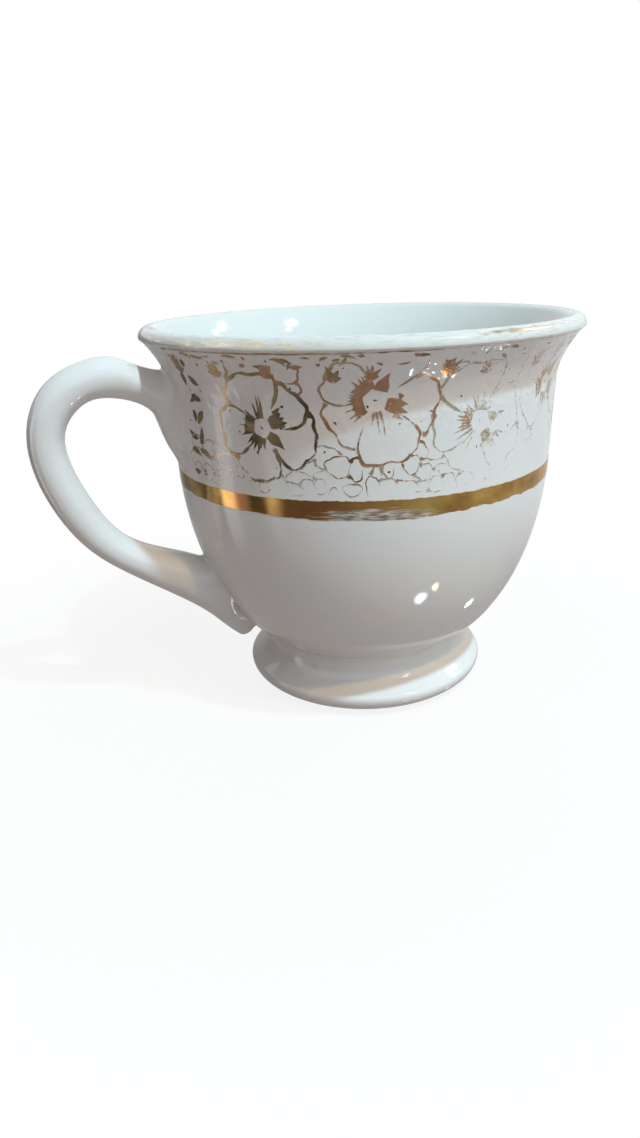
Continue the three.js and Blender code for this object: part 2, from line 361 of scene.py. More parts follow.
# Stations round the loop: outer edge, inner edge and width. An edge lies "out" from the wall or
# "in" from the reach, and its height is "down" from the lip or "up" from the seat.
STATIONS = [
    (("out", -HANDLE_BITE, "down", 8.0), ("out", -HANDLE_BITE, "down", 28.6), 11.0),
    (("out", 2.9, "down", 6.9), ("out", 2.4, "down", 20.7), 10.0),
    (("out", 6.2, "down", 5.2), ("out", 4.6, "down", 14.7), 9.2),
    (("out", 10.6, "down", 4.4), ("out", 12.2, "down", 11.8), 8.6),
    (("in", 4.9, "down", 8.3), ("in", 9.7, "down", 13.7), 8.4),
    (("in", 0.0, "down", 19.8), ("in", 6.8, "down", 19.8), 8.4),
    (("in", 5.2, "up", 29.8), ("in", 11.0, "up", 33.7), 8.4),
    (("in", 14.0, "up", 20.4), ("in", 18.6, "up", 25.3), 8.8),
    (("out", 7.2, "up", 9.9), ("out", -HANDLE_BITE, "up", 18.2), 11.4),
    (("out", 5.7, "up", 4.7), ("out", -HANDLE_BITE, "up", 11.0), 9.4),
    (("out", 5.9, "up", 1.7), ("out", -HANDLE_BITE, "up", 5.2), 6.4),
]


def edge_point(side, across, level, amount):
    height = CUP_HEIGHT - amount if level == "down" else SEAT_HEIGHT + amount
    radius = wall_radius(height) + across if side == "out" else HANDLE_REACH - across
    return np.array([radius, height])


def natural_spline(knots, values, at):
    """A smooth curve through values at the knots."""
    count = len(knots)
    step = np.diff(knots)
    slope = np.diff(values, axis=0) / step[:, None]
    system = np.eye(count)
    bend_sum = np.zeros((count, values.shape[1]))
    for i in range(1, count - 1):
        system[i, i - 1:i + 2] = (step[i - 1], 2 * (step[i - 1] + step[i]), step[i])
        bend_sum[i] = 6 * (slope[i] - slope[i - 1])
    second = np.linalg.solve(system, bend_sum)
    span = np.clip(np.searchsorted(knots, at, side="right") - 1, 0, count - 2)
    width = step[span][:, None]
    after = (at - knots[span])[:, None] / width
    before = 1 - after
    bow = (before ** 3 - before) * second[span] + (after ** 3 - after) * second[span + 1]
    return before * values[span] + after * values[span + 1] + bow * width ** 2 / 6


def handle_rings():
    """Outer edge, inner edge and half width of each ring of the handle's bar."""
    outer = np.array([edge_point(*edge) for edge, _, _ in STATIONS])
    inner = np.array([edge_point(*edge) for _, edge, _ in STATIONS])
    half_width = np.array([[width / 2] for _, _, width in STATIONS])
    outer_chord = np.linalg.norm(np.diff(outer, axis=0), axis=1)
    inner_chord = np.linalg.norm(np.diff(inner, axis=0), axis=1)
    knots = np.concatenate([[0], np.cumsum(np.sqrt((outer_chord + inner_chord) / 2))])
    at = np.linspace(knots[0], knots[-1], HANDLE_RINGS)
    curve = natural_spline(knots, np.concatenate([outer, inner, half_width], axis=1), at)
    return curve[:, 0:2], curve[:, 2:4], curve[:, 4]


def with_bead(outer, inner, half_width):
    """The rings with a rounded bead that closes the tail beyond the last station."""
    middle = (outer + inner) / 2
    heading = middle[-1] - middle[-1 - HEADING_RINGS]
    heading /= np.linalg.norm(heading)
    half_depth = (outer[-1] - inner[-1]) / 2
    angles = np.linspace(0, math.pi / 2, BEAD_RINGS + 1)[1:, None]
    beyond = middle[-1] + heading * half_width[-1] * BEAD_LENGTH * np.sin(angles)
    shrink = np.maximum(np.cos(angles), BEAD_TIP)
    return (
        np.concatenate([outer, beyond + half_depth * shrink]),
        np.concatenate([inner, beyond - half_depth * shrink]),
        np.concatenate([half_width, half_width[-1] * shrink[:, 0]]),
    )


def run_into_wall(points, normals):
    """Swells the handle near the wall into a hollow fillet, and keeps each point's distance."""
    gap, outward = wall_gap(points)
    side_fillet = np.interp(points[:, 2], FILLET_HEIGHTS, SIDE_FILLETS)
    fillet = EDGE_FILLET + normals[:, 1] ** 2 * (side_fillet - EDGE_FILLET)
    near = np.clip(fillet - gap, 0, fillet)
    swell = fillet - np.sqrt(fillet ** 2 - near ** 2)
    along_wall = normals - (normals * outward).sum(axis=1)[:, None] * outward
    points += along_wall * swell[:, None]
    points += outward * (gap - wall_gap(points)[0])[:, None]


def make_handle(material):
    outer, inner, half_width = with_bead(*handle_rings())
    turn = all_round(HANDLE_SIDES)
    power = 2 / SECTION_POWER
    across = np.sign(np.cos(turn)) * np.abs(np.cos(turn)) ** power
    aside = np.sign(np.sin(turn)) * np.abs(np.sin(turn)) ** power
    middle = (outer + inner) / 2
    depth = (outer - inner) / 2
    half_deep = np.linalg.norm(depth, axis=1)
    depth_way = depth / half_deep[:, None]
    radius = middle[:, None, 0] + depth[:, None, 0] * across
    height = middle[:, None, 1] + depth[:, None, 1] * across
    side = half_width[:, None] * aside
    points = np.stack([-radius, side, height], axis=-1).reshape(-1, 3)
    normal_across = np.cos(turn)[None, :] / half_deep[:, None]
    normal_aside = np.sin(turn)[None, :] / half_width[:, None]
    normals = np.stack([
        -depth_way[:, None, 0] * normal_across, normal_aside, depth_way[:, None, 1] * normal_across,
    ], axis=-1).reshape(-1, 3)
    normals /= np.linalg.norm(normals, axis=1)[:, None]
    run_into_wall(points, normals)
    faces = grid_faces(len(outer), HANDLE_SIDES, wrap_columns=True)
    faces.append(tuple(range(HANDLE_SIDES))[::-1])
    piece = add_piece(
        "glazed_handle", points, faces, material,
        ["handle", "handle_upper_slip", "handle_lower_slip"])
    clean_mesh(piece)


# Shader nodes

UNIT = (0.0, 1.0)
FALLING = (1.0, 0.0)
NOISE_SPAN = (0.3, 0.7)  # where most values of a noise lie
MIX_FIRST, MIX_SECOND, MIX_RESULT = 6, 7, 2  # colour sockets of a mix node


class Nodes:
    """The nodes of a material or world. What adds a node returns one of its outputs."""

    def __init__(self, owner):
        owner.use_nodes = True
        self.tree = owner.node_tree

    def feed(self, node, inputs):
        """Sets or links inputs that are given by name or number."""
        for name, value in inputs.items():
            if isinstance(value, bpy.types.NodeSocket):
                self.tree.links.new(value, node.inputs[name])
            else:
                node.inputs[name].default_value = value

    def add(self, kind, output, inputs, **settings):
        node = self.tree.nodes.new("ShaderNode" + kind)
        for name, value in settings.items():
            setattr(node, name, value)
        self.feed(node, inputs)
        return node.outputs[output]

    def show(self, surface):
        self.feed(self.tree.nodes["Material Output"], {"Surface": surface})

    def attribute(self, name):
        return self.add("Attribute", "Fac", {}, attribute_name=name)

    def noise(self, place, scale, detail):
        return self.add("TexNoise", "Fac", {"Vector": place, "Scale": scale, "Detail": detail})

    def stretched_noise(self, place, scales, detail):
        """A noise with a scale of its own along each axis."""
        stretched = self.add("Mapping", "Vector", {"Vector": place, "Scale": scales})
        return self.noise(stretched, 1.0, detail)

    def ramp(self, value, stops):
        """A colour ramp from positions and colours."""
        result = self.add("ValToRGB", "Color", {"Fac": value})
        elements = result.node.color_ramp.elements
        while len(elements) < len(stops):
            elements.new(0.5)
        for element, (position, colour) in zip(elements, stops):
            element.position = position
            element.color = (*colour, 1)
        return result

    def span(self, value, source, target=UNIT):
        """A value carried from one range to another."""
        names = ("Value", "From Min", "From Max", "To Min", "To Max")
        return self.add("MapRange", "Result", dict(zip(names, (value, *source, *target))))

    def combine(self, operation, first, second):
        return self.add("Math", "Value", {0: first, 1: second}, operation=operation)

    def mix(self, share, first, second):
        """A mix of two colours, each an output or a plain colour."""
        first, second = ((*c, 1) if isinstance(c, tuple) else c for c in (first, second))
        inputs = {"Factor": share, MIX_FIRST: first, MIX_SECOND: second}
        return self.add("Mix", MIX_RESULT, inputs, data_type="RGBA")

    def bump(self, height, strength, distance):
        inputs = {"Height": height, "Strength": strength, "Distance": distance}
        return self.add("Bump", "Normal", inputs)

    def seen_directly(self):
        """1 for rays from the camera, from mirrors and through glass."""
        kinds = ("Is Camera Ray", "Is Glossy Ray", "Is Transmission Ray")
        camera, glossy, through = (self.add("LightPath", kind, {}) for kind in kinds)
        return self.combine("MAXIMUM", self.combine("MAXIMUM", camera, glossy), through)


def new_surface(name):
    """A material with its nodes, its shader and the object's own coordinates."""
    material = bpy.data.materials.new(name)
    nodes = Nodes(material)
    return material, nodes, nodes.tree.nodes["Principled BSDF"], nodes.add("TexCoord", "Object", {})


# Glaze: scales of noise are cells to the metre

GLAZE_COOL = (0.79, 0.80, 0.80)
GLAZE_WARM = (0.82, 0.80, 0.77)
# Inside of the bowl: bluish glaze, darker than outside as painted shade of the hollow
GLAZE_INSIDE_SHADED = (0.745, 0.780, 0.755)
GLAZE_IOR = 1.52
DRIFT_SCALE = 28.0
SMUDGE_SCALE = 90.0
SMUDGE_SPAN = (0.3, 0.75)
SMUDGE_ROUGHNESS = (0.04, 0.12)
RIPPLE_SCALE = 70.0
RIPPLE_DEPTH = 0.0006
DENT_SCALE = 620.0
DENT_HEIGHTS = (0.0, 3.2)  # times the ripple's, full on the flare
SPECK_BROWN = (0.10, 0.065, 0.035)
SPECK_SCALE = 75.0
SPECK_SIZE = (0.012, 0.03)
SPECK_CHOICE_SCALE = 60.0
SPECK_CHOICE = (0.60, 0.66)
BOWL_UNEVENNESS = 0.10
HANDLE_UNEVENNESS = 0.70


def glaze_colour(nodes, place):
    """Off-white that drifts between cool and warm, with a few iron specks; bluish inside, and
    darker there as painted shade of the hollow.
    """
    drift = nodes.noise(place, DRIFT_SCALE, 2.0)
    white = nodes.ramp(drift, list(zip(NOISE_SPAN, (GLAZE_COOL, GLAZE_WARM))))
    pooled_and_shaded = nodes.mix(nodes.attribute("inner"), white, GLAZE_INSIDE_SHADED)
    cells = nodes.add("TexVoronoi", "Distance", {"Vector": place, "Scale": SPECK_SCALE})
    dot = nodes.span(cells, SPECK_SIZE, FALLING)
    chosen = nodes.span(nodes.noise(place, SPECK_CHOICE_SCALE, 0.0), SPECK_CHOICE)
    return nodes.mix(nodes.combine("MULTIPLY", dot, chosen), pooled_and_shaded, SPECK_BROWN)


def glaze_material(name, unevenness):
    material, nodes, shader, place = new_surface(name)
    smudge = nodes.noise(place, SMUDGE_SCALE, 4.0)
    ripple = nodes.noise(place, RIPPLE_SCALE, 2.0)
    dents = nodes.span(nodes.noise(place, DENT_SCALE, 1.0), UNIT, DENT_HEIGHTS)
    uneven = nodes.combine("MULTIPLY", dents, nodes.attribute("flare"))
    height = nodes.combine("ADD", ripple, uneven)
    nodes.feed(shader, {
        "Base Color": glaze_colour(nodes, place),
        "Roughness": nodes.span(smudge, SMUDGE_SPAN, SMUDGE_ROUGHNESS),
        "Normal": nodes.bump(height, unevenness, RIPPLE_DEPTH),
        "IOR": GLAZE_IOR,
    })
    return material


# Gold of the films

BAND_GOLD = [(0.3, (0.26, 0.13, 0.045)), (0.45, (0.45, 0.27, 0.075)), (0.65, (0.66, 0.46, 0.15))]
LIP_GOLD = [(0.3, (0.42, 0.38, 0.26)), (0.45, (0.64, 0.58, 0.40)), (0.65, (0.86, 0.80, 0.58))]
COPPER_GOLD = (0.46, 0.20, 0.085)
# Colours that hair scratches leave where the gold is gone; the lip's are also greyer than the
# glaze, as painted shade of the brightly lit lip
BAND_BARE = [(0.38, (0.20, 0.145, 0.10)), (0.50, (0.38, 0.33, 0.28)), (0.62, (0.62, 0.59, 0.55))]
LIP_BARE_AND_SHADED = [(0.30, (0.60, 0.58, 0.49)), (0.44, (0.70, 0.70, 0.66)), (0.56, (0.73, 0.74, 0.725))]
# Scratches lie round the cup
HAIR_SCALES = (420.0, 420.0, 3600.0)
BAND_SCRATCHES = (160.0, 160.0, 2600.0)
LIP_SCRATCHES = (380.0, 380.0, 2200.0)
BAND_RUB = (0.98, 1.12)  # wear from which the gold goes, and at which it is gone
LIP_RUB = (0.90, 1.20)
TARNISH_SCALE = 140.0
SATIN_ROUGHNESS = (0.09, 0.40)
SCRATCH_ROUGHNESS = (-0.03, 0.06)
SCRATCH_STRENGTH = 0.04
SCRATCH_DEPTH = 0.0002


def gold_material(name, scratch_scales, rub, gold_colours, bare_colours):
    """Burnished gold, satin or rubbed through to the glaze where the mesh says so."""
    material, nodes, shader, place = new_surface(name)
    scratch = nodes.stretched_noise(place, scratch_scales, 6.0)
    rubbed = nodes.span(nodes.combine("ADD", nodes.attribute("wear"), scratch), rub)
    yellow = nodes.ramp(nodes.noise(place, TARNISH_SCALE, 4.0), gold_colours)
    gold = nodes.mix(nodes.attribute("copper"), yellow, COPPER_GOLD)
    bare = nodes.ramp(nodes.stretched_noise(place, HAIR_SCALES, 5.0), bare_colours)
    satin = nodes.span(nodes.attribute("satin"), UNIT, SATIN_ROUGHNESS)
    grain = nodes.span(scratch, NOISE_SPAN, SCRATCH_ROUGHNESS)
    nodes.feed(shader, {
        "Base Color": nodes.mix(rubbed, gold, bare),
        "Metallic": nodes.span(rubbed, UNIT, FALLING),
        "Roughness": nodes.combine("ADD", satin, grain),
        "Normal": nodes.bump(scratch, SCRATCH_STRENGTH, SCRATCH_DEPTH),
    })
    return material


# Gilt of the print

PRINT_TONES = [
    (0.05, (0.175, 0.140, 0.080)),
    (0.30, (0.320, 0.220, 0.115)),
    (0.52, (0.430, 0.225, 0.135)),
    (0.75, (0.400, 0.320, 0.200)),
    (0.95, (0.450, 0.410, 0.320)),
]
MOTTLE_SCALE = 420.0
MOTTLE_SHIFT = (-0.14, 0.14)
MOTTLE_ROUGHNESS = (0.14, 0.34)
WORN_SPECK_SCALE = 1700.0
PRINT_RUB = (0.92, 1.28)
METAL_TONES = (0.32, 0.60)  # the copper and pale tones are thinner gold
METAL_SHARES = (1.0, 0.3)


def print_material():
    """Gilt print from dark olive through copper to pale gold, worn off in specks."""
    material, nodes, shader, place = new_surface("gilt_print")
    mottle = nodes.noise(place, MOTTLE_SCALE, 4.0)
    shift = nodes.span(mottle, NOISE_SPAN, MOTTLE_SHIFT)
    tone = nodes.combine("ADD", nodes.attribute("tone"), shift)
    speck = nodes.noise(place, WORN_SPECK_SCALE, 3.0)
    rubbed = nodes.span(nodes.combine("ADD", nodes.attribute("fade"), speck), PRINT_RUB)
    kept = nodes.span(rubbed, UNIT, FALLING)
    thick = nodes.span(tone, METAL_TONES, METAL_SHARES)
    gilt = nodes.ramp(tone, PRINT_TONES)
    nodes.feed(shader, {
        "Base Color": nodes.mix(rubbed, gilt, glaze_colour(nodes, place)),
        "Metallic": nodes.combine("MULTIPLY", kept, thick),
        "Roughness": nodes.span(mottle, NOISE_SPAN, MOTTLE_ROUGHNESS),
    })
    return material


# Gold films

FILM_SHARES = np.concatenate([[0.0, 0.015], np.linspace(0.03, 0.97, FILM_ROWS), [0.985, 1.0]])
NOISE_RADIUS = 40.0
LIP_NOISE_RADIUS = 44.0
# Noise round an edge: depth, size of its detail in millimetres and seed
BAND_TOP_NOISE = [(0.12, 2.5, 1.5), (0.10, 0.7, 3.5)]
BAND_BOTTOM_NOISE = [(0.16, 3.0, 5.5), (0.12, 0.8, 7.5)]
BAND_RAGGED_NOISE = [(0.9, 4.5, 9.5), (0.25, 1.4, 2.5)]
LIP_LOW_NOISE = [(0.10, 2.0, 11.5)]
LIP_HIGH_NOISE = [(0.14, 2.5, 13.5)]
LIP_PATCHES = [(0.12, 6.0, 17.5), (0.12, 1.8, 19.5)]
# Humps round the cup: amount, degrees from the handle and spread
BAND_RAGGED = [(1.0, 104, 20), (0.6, 232, 24)]
BAND_RUBBED = [(1.0, 71, 16), (0.7, 190, 26), (0.6, 287, 16)]
BAND_SATIN = [(1.0, 112, 38), (0.6, 225, 40)]
BAND_COPPER = [(0.9, 34, 4), (0.75, 58, 17), (0.5, 200, 40)]
BAND_SAG = [(0.4, 70, 26)]
LIP_KEPT_LOW = [(0.75, 14, 30), (0.8, 48, 16), (0.5, 190, 60)]
LIP_KEPT_HIGH = [(0.4, 30, 22), (1.15, 107, 18), (0.8, 240, 40)]
# Wear of the band, which is most along its lower edge
BAND_WEAR = 0.22
BAND_LOW_WEAR = 0.95
BAND_WEAR_FALL = 1.15
BAND_MOST_WEAR = 0.62
BAND_RAGGED_WEAR = 0.18
BAND_RAGGED_SHARE = 0.25
BAND_LEAST_SATIN = 0.04
# Wear of the lip, which keeps some gold on its side and its top: place across the film and spread
LIP_WEAR = 0.98
LIP_SIDE = (0.42, 0.11)
LIP_TOP = (0.60, 0.13)
LIP_SIDE_GOLD = 0.48
LIP_TOP_GOLD = 0.52
LIP_SATIN = 0.15


def ring_noise(angles, layers, radius=NOISE_RADIUS):
    """Noise round the cup that joins up with itself."""
    total = 0
    for depth, size, seed in layers:
        around = radius / size
        total = total + depth * np.array([
            noise.noise(Vector((around * math.cos(a), around * math.sin(a), seed))) for a in angles
        ])
    return total


def humps(angles, places):
    """Smooth humps at angles counted from the handle."""
    total = 0
    for amount, centre, spread in places:
        away = (np.degrees(angles - HANDLE_SIDE) - centre + 180) % 360 - 180
        total = total + amount * np.exp(-(away / spread) ** 2)
    return total


def film_lift(share):
    """How proud of the glaze a film is, with its two edges sunk."""
    return -FILM_SINK if share in (0.0, 1.0) else FILM_LIFT


def add_film(name, node, material, points, wear, satin, copper):
    """A closed film from rows of points round the cup, and what its material reads."""
    rows = len(points)
    faces = grid_faces(rows, FILM_TURNS, wrap_columns=True, wrap_rows=True)
    piece = add_piece(name, np.concatenate(points), faces, material, [node])
    set_attribute(piece, "wear", np.concatenate(wear))
    set_attribute(piece, "satin", np.tile(satin, rows))
    set_attribute(piece, "copper", np.tile(copper, rows))
    clean_mesh(piece)


def make_band(material):
    angles = all_round(FILM_TURNS)
    ragged = humps(angles, BAND_RAGGED)
    rubbed = humps(angles, BAND_RUBBED)
    satin = np.clip(BAND_LEAST_SATIN + humps(angles, BAND_SATIN), 0, 1)
    copper = np.clip(humps(angles, BAND_COPPER), 0, 1)
    top = BAND_TOP + ring_noise(angles, BAND_TOP_NOISE)
    bottom = BAND_BOTTOM + ring_noise(angles, BAND_BOTTOM_NOISE)
    bottom += ragged * ring_noise(angles, BAND_RAGGED_NOISE)
    bottom -= humps(angles, BAND_SAG)
    points, wear = [], []
    for share in FILM_SHARES:
        height = bottom + share * (top - bottom)
        points.append(on_wall(angles, height, film_lift(share)))
        low_wear = np.clip(BAND_LOW_WEAR - BAND_WEAR_FALL * share, 0, BAND_MOST_WEAR)
        edge_wear = BAND_RAGGED_WEAR * ragged * (share < BAND_RAGGED_SHARE)
        wear.append(BAND_WEAR + rubbed * low_wear + edge_wear)
    add_film("gold_band", "belly_gold_band", material, points, wear, satin, copper)


def make_rim_gilding(material):
    angles = all_round(FILM_TURNS)
    low = RIM_GILT_LOW + ring_noise(angles, LIP_LOW_NOISE)
    high = RIM_GILT_HIGH + ring_noise(angles, LIP_HIGH_NOISE)
    kept_low = LIP_SIDE_GOLD * humps(angles, LIP_KEPT_LOW)
    kept_high = LIP_TOP_GOLD * humps(angles, LIP_KEPT_HIGH)
    patches = ring_noise(angles, LIP_PATCHES, LIP_NOISE_RADIUS)
    points, wear = [], []
    for share in FILM_SHARES:
        place = lip_point(low + share * (high - low), film_lift(share))
        points.append(about_axis(place[:, 0], angles, place[:, 1]))
        on_side, on_top = (
            math.exp(-((share - middle) / spread) ** 2) for middle, spread in (LIP_SIDE, LIP_TOP))
        wear.append(LIP_WEAR - kept_low * on_side - kept_high * on_top + patches)
    satin = np.full(FILM_TURNS, LIP_SATIN)
    copper = np.zeros(FILM_TURNS)
    add_film("lip_gilding", "rim_gilding", material, points, wear, satin, copper)


# Blossom print, drawn flat in millimetres round the wall and up from the band

FLAT_RADIUS = 39.0
PRINT_LIFT = 0.022
PRINT_LIFT_SPREAD = 0.008
PRINT_LIFT_LOSS = 0.7  # share of the lift that full wear takes
PRINT_SINK = 0.015
PRINT_STEP = 0.4
PETALS = 5
PRINT_FLOOR = 0.7
PRINT_TOP = CLIMB[-1] - np.interp(BAND_TOP, OUTSIDE[:, 1], CLIMB)
PRINT_START = 15  # degrees from the handle, on both of its sides
PRINT_STOP = 360 - PRINT_START
LINES_TOP = PRINT_TOP - 2.0
SHORTEST_LINE = 1.8
THINNEST_STROKE = 0.04
STROKE_HALF = 0.60  # half a stroke, with the smudged margin beyond its drawn width
DARKEST, PALEST = 0.02, 0.95
PALE_FROM = 0.42  # wear from which a tone gets paler
PALER = 0.5
# Wear of the print, from 0 for fresh gilt
GONE = 0.69  # a line is lost
MOST_WEAR = 0.72
WEAR_ALL_OVER = 0.10
WEAR_BY_BAND = 0.28
BAND_WEAR_REACH = 6
FADED_PLACES = [(116, 34, 0.36), (222, 24, 0.30), (300, 18, 0.26)]  # degrees, spread and wear
BLOTCHES = [(0.12, 4.2, 0.26), (0.55, 8.6, 0.22)]  # cells to the millimetre, seed and wear
EDGE_WEAR = 0.42  # more wear along the edges of a fine stroke
EDGE_WEAR_HALF = 0.25  # half width to which a stroke counts as fine
EDGE_WEAR_LEAST = 0.2  # share of it that a broad stroke has
# Outlines taper towards their free ends and swell into blots where something hides the rest
TAPER_LENGTH = 1.6
TAPER_LEAST = 0.15
BLOT_LENGTH = 0.7
BLOT_WIDTH = 0.7
BLOT_PALER = 0.25
FADED_THINNER = 0.35
# Unevenness of a stroke's width: cells to the step, and spread about the middle
WIDTH_NOISE_STEP = 0.22
WIDTH_NOISE_SPREAD = 0.65


def spot_at(degrees, up):
    """A place of the drawing, from degrees round from the handle and millimetres up."""
    return np.array([math.radians(degrees) * FLAT_RADIUS, up])


def turned_by(points, angle):
    cos, sin = math.cos(angle), math.sin(angle)
    return points @ np.array([[cos, sin], [-sin, cos]])


def is_inside(points, outline):
    """Which points lie inside a closed outline."""
    low, high = outline.min(axis=0), outline.max(axis=0)
    result = np.zeros(len(points), bool)
    near = np.all((points > low) & (points < high), axis=1)
    if near.any():
        x, y = points[near, 0][:, None], points[near, 1][:, None]
        x1, y1 = outline[:, 0], outline[:, 1]
        x2, y2 = np.roll(x1, -1), np.roll(y1, -1)
        rise = np.where(y2 == y1, 1e-12, y2 - y1)
        crossed = ((y1 > y) != (y2 > y)) & (x < (x2 - x1) * (y - y1) / rise + x1)
        result[near] = crossed.sum(axis=1) % 2 == 1
    return result


def fade_at(route):
    """Wear of the print along a route."""
    degrees = np.degrees(route[:, 0] / FLAT_RADIUS)
    fade = WEAR_ALL_OVER + WEAR_BY_BAND * np.exp(-(route[:, 1] / BAND_WEAR_REACH) ** 2)
    for centre, spread, amount in FADED_PLACES:
        fade = fade + amount * np.exp(-((degrees - centre) / spread) ** 2)
    for scale, seed, amount in BLOTCHES:
        blotch = [noise.noise(Vector((scale * x, scale * y, seed))) for x, y in route]
        fade = fade + amount * np.array(blotch)
    return np.clip(fade, 0, MOST_WEAR)


class Print:
    """Strokes of gilt on the bowl's outside. What is drawn first hides what comes later."""

    def __init__(self, seed, covers):
        self.random = np.random.default_rng(seed)
        self.draw = self.random.uniform
        self.points, self.faces, self.tones, self.fades = [], [], [], []
        self.count = 0
        self.covers = covers

    def ribbon(self, route, widths, tone):
        """A thin closed strip along a route, with its edges sunk in the glaze."""
        along = np.gradient(route, axis=0)
        along /= np.maximum(np.linalg.norm(along, axis=1), 1e-9)[:, None]
        aside = np.stack([-along[:, 1], along[:, 0]], axis=1)
        half = np.maximum(np.asarray(widths, float), THINNEST_STROKE)[:, None] * STROKE_HALF
        fade = fade_at(route)
        edge_wear = EDGE_WEAR * np.clip(EDGE_WEAR_HALF / half[:, 0], EDGE_WEAR_LEAST, 1)
        lift = PRINT_LIFT + PRINT_LIFT_SPREAD * self.random.random()
        lift = lift * (1 - PRINT_LIFT_LOSS * fade)
        rails, fades = [], []
        sunk = -PRINT_SINK
        for side, height in ((1, sunk), (1, lift), (0, lift), (-1, lift), (-1, sunk)):
            edge = route + side * half * aside
            angle = HANDLE_SIDE + edge[:, 0] / FLAT_RADIUS
            rails.append(on_wall(angle, height_above(BAND_TOP, edge[:, 1]), height))
            fades.append(fade + abs(side) * edge_wear)
        steps, across = len(route), len(rails)
        tones = np.clip(tone + PALER * np.maximum(fade - PALE_FROM, 0), 0, PALEST)
        self.points.append(np.stack(rails, axis=1).reshape(-1, 3))
        self.tones.append(np.repeat(tones, across))
        self.fades.append(np.stack(fades, axis=1).reshape(-1))
        strip = grid_faces(steps, across, wrap_columns=True)
        strip += [tuple(range(across)), tuple(across * (steps - 1) + i for i in range(across))]
        self.faces += [tuple(self.count + i for i in face) for face in strip]
        self.count += across * steps

    def shade(self, tone, spread):
        return float(np.clip(self.random.normal(tone, spread), DARKEST, PALEST))

    def wavy(self, count, low, high):
        """Uneven widths along a stroke."""
        start = self.random.random() * 100
        places = [Vector((start + WIDTH_NOISE_STEP * i, 0.3, 0.7)) for i in range(count)]
        share = [noise.noise(place) * WIDTH_NOISE_SPREAD + 0.5 for place in places]
        return low + (high - low) * np.clip(share, 0, 1)

    def outline(self, route, low, high, tone, blank):
        """A drawn line that swells into a blot where something in front hides the rest of it."""
        length = np.concatenate([[0], np.cumsum(np.linalg.norm(np.diff(route, axis=0), axis=1))])
        at = np.linspace(0, length[-1], max(int(length[-1] / PRINT_STEP), 6))
        route = np.stack([np.interp(at, length, route[:, i]) for i in range(2)], axis=1)
        left_out = np.interp(at, length, blank) > 0.5
        left_out |= (route[:, 1] < PRINT_FLOOR) | (route[:, 1] > LINES_TOP)
        left_out |= fade_at(route) > GONE
        covered = np.zeros(len(route), bool)
        for cover in self.covers:
            covered |= is_inside(route, cover)
        seen = np.concatenate([[0], ~(covered | left_out), [0]])
        ends = np.flatnonzero(np.diff(seen.astype(int)))
        for first, stop in zip(ends[::2], ends[1::2]):
            if at[stop - 1] - at[first] < SHORTEST_LINE:
                continue
            run = route[first:stop]
            swell = 1 - FADED_THINNER * fade_at(run)
            blot = np.zeros(stop - first)
            ahead, behind = at[first:stop] - at[first], at[stop - 1] - at[first:stop]
            for away, beyond in ((ahead, first - 1), (behind, stop)):
                if 0 <= beyond < len(route) and covered[beyond]:
                    blot += self.draw(0.1, 1.0) * np.exp(-(away / BLOT_LENGTH) ** 2)
                else:
                    swell *= np.clip(away / TAPER_LENGTH, TAPER_LEAST, 1)
            widths = self.wavy(stop - first, low, high) * swell + BLOT_WIDTH * blot
            self.ribbon(run, widths, np.clip(tone + BLOT_PALER * blot, 0, PALEST))

    def ray(self, spot, direction, start, length, width, tone, bow=0.0):
        """A tapered ray of a burst."""
        t = np.linspace(0, 1, 6)
        straight = np.stack([start + length * t, bow * length * t ** 2], axis=1)
        route = spot + turned_by(straight, direction)
        if fade_at(route).mean() < GONE:
            self.ribbon(route, width * (1 - 0.92 * t ** 1.5), tone)

    def block(self, spot, direction, eye, size, tone):
        """A solid lobe with a saw-toothed end."""
        t = np.linspace(0, 1, 7)
        deep = size * self.draw(0.12, 0.2)
        base = np.stack([eye + deep * t, 0 * t], axis=1)
        wide = size * self.draw(0.20, 0.27)
        self.ribbon(spot + turned_by(base, direction), wide * (0.7 + 0.5 * t), tone)
        teeth = self.random.integers(6, 9)
        start, width = eye + 0.02 * size, 0.075 * size
        for j in range(teeth):
            lean = (j / (teeth - 1) - 0.5) * 1.1 + self.random.normal(0, 0.06)
            reach = size * self.draw(0.18, 0.36) * (1 - 0.3 * abs(lean))
            self.ray(spot, direction + lean, start, reach, width, self.shade(tone, 0.05))

    def rays(self, spot, direction, eye, size, tone):
        """A few separate strokes."""
        count = self.random.integers(3, 5)
        for j in range(count):
            lean = (j - (count - 1) / 2) * self.draw(0.2, 0.27)
            reach = size * self.draw(0.2, 0.42)
            bow = self.random.normal(0, 0.1)
            self.ray(spot, direction + lean, eye, reach, 0.06 * size, self.shade(tone, 0.06), bow)

    def drop(self, spot, direction, eye, size, tone):
        """A long drop with a pointed end."""
        t = np.linspace(0, 1, 12)
        reach = size * self.draw(0.34, 0.46)
        route = np.stack([eye + reach * t, 0.04 * size * np.sin(2 * t)], axis=1)
        widths = 0.20 * size * (1 - t) ** 0.8 * (0.9 + 0.35 * np.sin(math.pi * t))
        self.ribbon(spot + turned_by(route, direction), widths * self.wavy(12, 0.6, 1.25), tone)

    def wedge(self, spot, direction, eye, size, tone):
        """A lobe that widens outward to a ragged end."""
        t = np.linspace(0, 1, 10)
        deep = size * self.draw(0.20, 0.28)
        route = np.stack([eye + deep * t, 0 * t], axis=1)
        wide = size * self.draw(0.24, 0.32)
        widths = wide * (0.6 + 0.4 * t ** 0.8) * self.wavy(10, 0.7, 1.15)
        self.ribbon(spot + turned_by(route, direction), widths, tone)
        start, width = eye + 0.85 * deep, 0.1 * size
        for j in range(5):
            lean = (j - 2) * 0.19 + self.random.normal(0, 0.04)
            reach = size * self.draw(0.06, 0.2)
            self.ray(spot, direction + lean, start, reach, width, self.shade(tone, 0.05))

